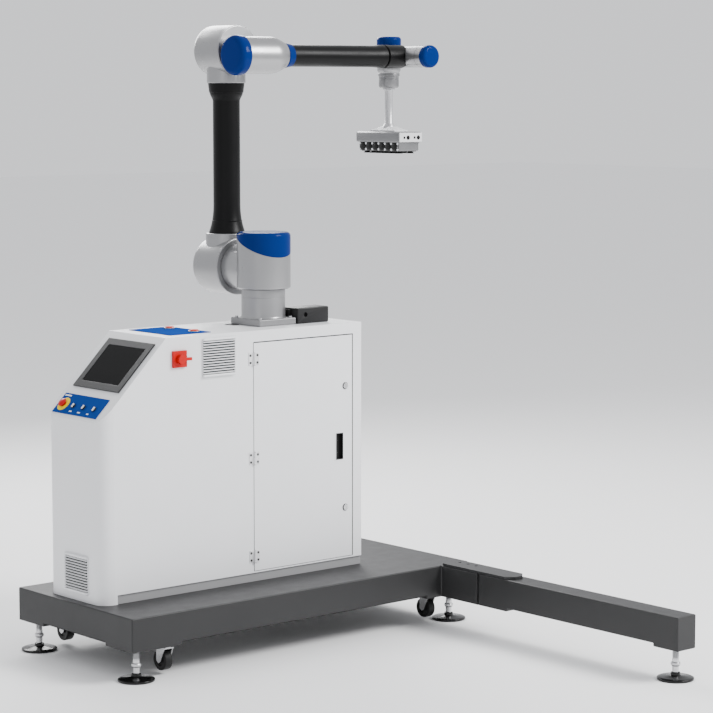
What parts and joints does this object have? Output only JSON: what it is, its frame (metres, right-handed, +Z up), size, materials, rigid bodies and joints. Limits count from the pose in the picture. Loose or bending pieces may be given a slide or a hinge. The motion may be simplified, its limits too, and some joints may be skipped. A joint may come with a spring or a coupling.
{
  "type": "palletising robot station",
  "caption": "Collaborative robot arm with a vacuum gripper on a steel control cabinet, on a levelled base with an extension beam.",
  "frame": {"origin": "on the floor, at the bottom centre of the whole station's box, arm in its rest pose", "axes": "+Z up; -Y is the cabinet's door side, and the extension beam runs towards -Y; -X is the operator panel's side"},
  "size_m": [1.746, 1.949, 2.283],
  "materials": {
    "dark_steel": "satin",
    "cabinet_paint": "satin powder coat",
    "plinth_paint": "satin",
    "chrome": "polished",
    "zinc": "zinc plated",
    "black_rubber": "matte",
    "black_plastic": "matte",
    "grey_plastic": "matte",
    "grey_enclosure": "satin",
    "screen_glass": "gloss",
    "panel_blue": "satin film",
    "cap_blue": "gloss",
    "arm_silver": "satin metallic paint",
    "plate_grey": "anodised",
    "tube_black": "satin",
    "warning_red": "satin",
    "aluminium": "satin"
  },
  "bodies": {
    "station": {"platform_frame": "dark_steel", "extension_beam": "dark_steel", "splice_plate": "dark_steel", "cabinet_shell": "cabinet_paint", "vent_upper": "cabinet_paint", "vent_lower": "cabinet_paint", "door_hinge_1": "cabinet_paint", "door_hinge_2": "cabinet_paint", "door_hinge_3": "cabinet_paint", "plinth": "plinth_paint", "hmi_bezel": "grey_plastic", "connector_box": "grey_plastic", "controller_unit": "grey_enclosure", "hmi_screen": "screen_glass", "control_panel": "panel_blue", "top_panel": "panel_blue", "arm_base": "arm_silver", "robot_plate": "plate_grey", "main_switch_plate": "warning_red", "vacuum_pump": "aluminium"},
    "foot_left_far": {"foot_left_far": "chrome"},
    "foot_left_near": {"foot_left_near": "chrome"},
    "foot_inner": {"foot_inner": "chrome"},
    "foot_right_far": {"foot_right_far": "chrome"},
    "foot_beam_end": {"foot_beam_end": "chrome"},
    "caster_left_far": {"caster_fork_left_far": "zinc"},
    "wheel_left_far": {"caster_wheel_left_far": "black_rubber"},
    "caster_left_near": {"caster_fork_left_near": "zinc"},
    "wheel_left_near": {"caster_wheel_left_near": "black_rubber"},
    "caster_inner": {"caster_fork_inner": "zinc"},
    "wheel_inner": {"caster_wheel_inner": "black_rubber"},
    "caster_right_far": {"caster_fork_right_far": "zinc"},
    "wheel_right_far": {"caster_wheel_right_far": "black_rubber"},
    "door": {"door": "cabinet_paint", "door_pull": "black_plastic"},
    "door_lock_upper": {"door_lock_upper": "zinc"},
    "door_lock_lower": {"door_lock_lower": "zinc"},
    "main_switch": {"main_switch_knob": "warning_red"},
    "estop": {"estop_button": "warning_red"},
    "selector_1": {"selector_1": "black_plastic"},
    "selector_2": {"selector_2": "black_plastic"},
    "selector_3": {"selector_3": "black_plastic"},
    "top_button_1": {"top_button_1": "warning_red"},
    "top_button_2": {"top_button_2": "warning_red"},
    "shoulder": {"shoulder_housing": "arm_silver", "shoulder_cap": "cap_blue"},
    "upper_arm": {"lower_link_housing": "arm_silver", "upper_arm_tube": "tube_black", "elbow_housing": "arm_silver"},
    "forearm": {"forearm_housing": "arm_silver", "forearm_cap": "cap_blue"},
    "forearm_roll": {"forearm_ring": "cap_blue", "forearm_tube": "tube_black", "wrist_housing": "arm_silver", "wrist_cap": "cap_blue"},
    "wrist": {"tool_housing": "arm_silver", "tool_cap": "cap_blue"},
    "tool": {"tool_flange": "aluminium", "gripper_body": "aluminium", "suction_cups": "black_rubber"}
  },
  "joints": [
    {"name": "foot_left_far_level", "type": "slide", "parent": "station", "child": "foot_left_far", "axis": [0, 0, -1], "range_m": [0, 0.03]},
    {"name": "foot_left_near_level", "type": "slide", "parent": "station", "child": "foot_left_near", "axis": [0, 0, -1], "range_m": [0, 0.03]},
    {"name": "foot_inner_level", "type": "slide", "parent": "station", "child": "foot_inner", "axis": [0, 0, -1], "range_m": [0, 0.03]},
    {"name": "foot_right_far_level", "type": "slide", "parent": "station", "child": "foot_right_far", "axis": [0, 0, -1], "range_m": [0, 0.03]},
    {"name": "foot_beam_end_level", "type": "slide", "parent": "station", "child": "foot_beam_end", "axis": [0, 0, -1], "range_m": [0, 0.03]},
    {"name": "caster_left_far_swivel", "type": "hinge", "parent": "station", "child": "caster_left_far", "pos_m": [-0.6805, 0.907, 0.08], "axis": [0, 0, 1], "continuous": true},
    {"name": "wheel_left_far_spin", "type": "hinge", "parent": "caster_left_far", "child": "wheel_left_far", "pos_m": [-0.6805, 0.925, 0.0515], "axis": [1, 0, 0], "continuous": true},
    {"name": "caster_left_near_swivel", "type": "hinge", "parent": "station", "child": "caster_left_near", "pos_m": [-0.6785, 0.299, 0.08], "axis": [0, 0, 1], "continuous": true},
    {"name": "wheel_left_near_spin", "type": "hinge", "parent": "caster_left_near", "child": "wheel_left_near", "pos_m": [-0.6785, 0.317, 0.0515], "axis": [1, 0, 0], "continuous": true},
    {"name": "caster_inner_swivel", "type": "hinge", "parent": "station", "child": "caster_inner", "pos_m": [0.5975, 0.331, 0.08], "axis": [0, 0, 1], "continuous": true},
    {"name": "wheel_inner_spin", "type": "hinge", "parent": "caster_inner", "child": "wheel_inner", "pos_m": [0.5975, 0.349, 0.0515], "axis": [1, 0, 0], "continuous": true},
    {"name": "caster_right_far_swivel", "type": "hinge", "parent": "station", "child": "caster_right_far", "pos_m": [0.5785, 0.907, 0.08], "axis": [0, 0, 1], "continuous": true},
    {"name": "wheel_right_far_spin", "type": "hinge", "parent": "caster_right_far", "child": "wheel_right_far", "pos_m": [0.5785, 0.925, 0.0515], "axis": [1, 0, 0], "continuous": true},
    {"name": "door_hinge", "type": "hinge", "parent": "station", "child": "door", "pos_m": [-0.1465, 0.4645, 0.7], "axis": [0, 0, -1], "range_deg": [0, 110]},
    {"name": "door_lock_upper_turn", "type": "hinge", "parent": "door", "child": "door_lock_upper", "pos_m": [0.2935, 0.471, 0.928], "axis": [0, -1, 0], "range_deg": [0, 90]},
    {"name": "door_lock_lower_turn", "type": "hinge", "parent": "door", "child": "door_lock_lower", "pos_m": [0.2935, 0.471, 0.462], "axis": [0, -1, 0], "range_deg": [0, 90]},
    {"name": "main_switch_turn", "type": "hinge", "parent": "station", "child": "main_switch", "pos_m": [-0.4865, 0.471, 1.0873], "axis": [0, -1, 0], "range_deg": [0, 90]},
    {"name": "estop_press", "type": "slide", "parent": "station", "child": "estop", "axis": [0.7071, 0, -0.7071], "range_m": [0, 0.003], "stiffness_N_per_m": 800, "springref_m": -0.003},
    {"name": "selector_1_turn", "type": "hinge", "parent": "station", "child": "selector_1", "pos_m": [-0.78757, 0.69, 0.91993], "axis": [-0.7071, 0, 0.7071], "range_deg": [-45, 45]},
    {"name": "selector_2_turn", "type": "hinge", "parent": "station", "child": "selector_2", "pos_m": [-0.78757, 0.627, 0.91993], "axis": [-0.7071, 0, 0.7071], "range_deg": [-45, 45]},
    {"name": "selector_3_turn", "type": "hinge", "parent": "station", "child": "selector_3", "pos_m": [-0.78757, 0.561, 0.91993], "axis": [-0.7071, 0, 0.7071], "range_deg": [-45, 45]},
    {"name": "top_button_1_press", "type": "slide", "parent": "station", "child": "top_button_1", "axis": [0, 0, -1], "range_m": [0, 0.003], "stiffness_N_per_m": 400, "springref_m": -0.002},
    {"name": "top_button_2_press", "type": "slide", "parent": "station", "child": "top_button_2", "axis": [0, 0, -1], "range_m": [0, 0.003], "stiffness_N_per_m": 400, "springref_m": -0.002},
    {"name": "arm_j1_base", "type": "hinge", "parent": "station", "child": "shoulder", "pos_m": [0.0385, 0.646, 1.3], "axis": [0, 0, 1], "range_deg": [-170, 170]},
    {"name": "arm_j2_shoulder", "type": "hinge", "parent": "shoulder", "child": "upper_arm", "pos_m": [0.0385, 0.646, 1.375], "axis": [0, 1, 0], "range_deg": [-90, 45]},
    {"name": "arm_j3_elbow", "type": "hinge", "parent": "upper_arm", "child": "forearm", "pos_m": [0.0385, 0.646, 2.188], "axis": [0, 1, 0], "range_deg": [-150, 30]},
    {"name": "arm_j4_forearm_roll", "type": "hinge", "parent": "forearm", "child": "forearm_roll", "pos_m": [0.0385, 0.714, 2.17], "axis": [1, 0, 0], "range_deg": [-180, 180]},
    {"name": "arm_j5_wrist_bend", "type": "hinge", "parent": "forearm_roll", "child": "wrist", "pos_m": [0.8115, 0.714, 2.17], "axis": [0, 1, 0], "range_deg": [-110, 60]},
    {"name": "arm_j6_tool_roll", "type": "hinge", "parent": "wrist", "child": "tool", "pos_m": [0.8115, 0.812, 2.17], "axis": [0, 0, 1], "range_deg": [-180, 180]}
  ]
}
